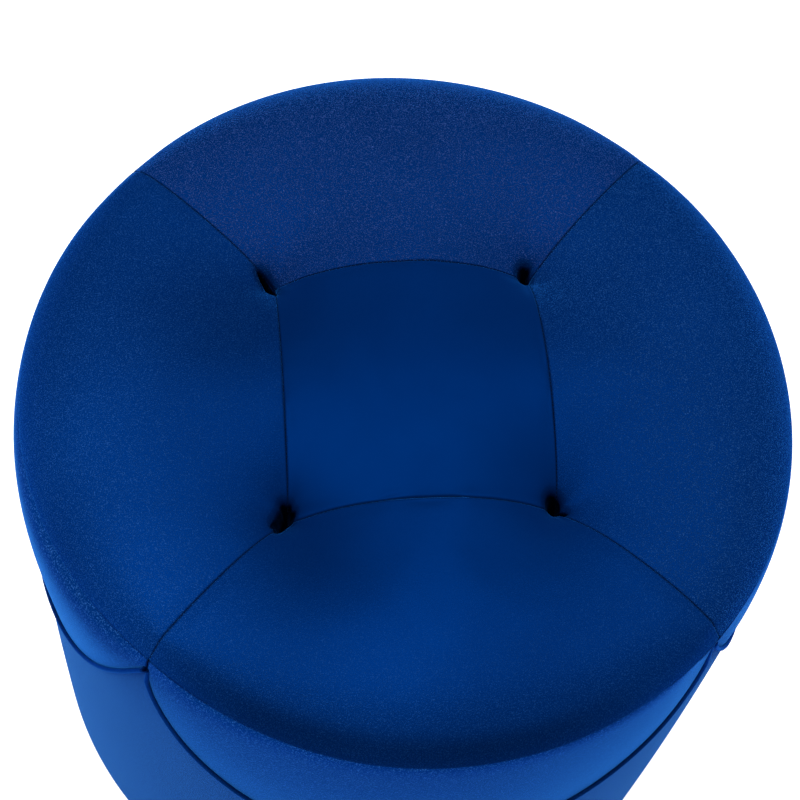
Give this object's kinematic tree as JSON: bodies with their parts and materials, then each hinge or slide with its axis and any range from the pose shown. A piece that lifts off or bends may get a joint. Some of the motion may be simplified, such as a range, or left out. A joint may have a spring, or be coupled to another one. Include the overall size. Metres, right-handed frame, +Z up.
{
  "type": "round tufted ottoman",
  "caption": "Round drum ottoman in blue velvet, with a buttonless tufted seat of sewn panels, scalloped sides edged in piping, a plain body and low floor glides.",
  "frame": {"origin": "centre of the floor contact plane, on the axis of the drum", "axes": "+Z up along the axis of the drum, -Y towards the front scallop, +X towards the right scallop; the tufts stand on the diagonals between them"},
  "size_m": [0.5202, 0.5202, 0.438],
  "materials": {
    "velvet": "matte",
    "velvet_piping": "matte",
    "seat_foam": "matte",
    "side_foam": "matte",
    "wadding": "matte",
    "plywood": "matte",
    "pine": "matte",
    "fibreboard": "matte",
    "zinc_plate": "satin",
    "twine": "matte",
    "dust_sheet": "matte",
    "screw_steel": "satin",
    "nylon": "satin",
    "staple_wire": "satin"
  },
  "bodies": {
    "root": {"base_board": "plywood", "base_board_screws": "screw_steel", "body_cover": "velvet", "centre_panel": "velvet", "cover_staples": "staple_wire", "drum_wall": "fibreboard", "dust_sheet": "dust_sheet", "dust_sheet_staples": "staple_wire", "glide_back": "nylon", "glide_front": "nylon", "glide_left": "nylon", "glide_right": "nylon", "glide_screws": "screw_steel", "petal_back": "velvet", "petal_front": "velvet", "petal_left": "velvet", "petal_right": "velvet", "post_back_left": "pine", "post_back_right": "pine", "post_front_left": "pine", "post_front_right": "pine", "scallop_back": "velvet", "scallop_front": "velvet", "scallop_left": "velvet", "scallop_right": "velvet", "seat_board": "plywood", "seat_board_screws": "screw_steel", "seat_foam": "seat_foam", "seat_wadding": "wadding", "side_foam": "side_foam", "twine_back_left": "twine", "twine_back_right": "twine", "twine_front_left": "twine", "twine_front_right": "twine", "twine_washer_back_left": "zinc_plate", "twine_washer_back_right": "zinc_plate", "twine_washer_front_left": "zinc_plate", "twine_washer_front_right": "zinc_plate", "wall_staples": "staple_wire", "welt_back": "velvet_piping", "welt_front": "velvet_piping", "welt_left": "velvet_piping", "welt_right": "velvet_piping"}
  },
  "joints": []
}
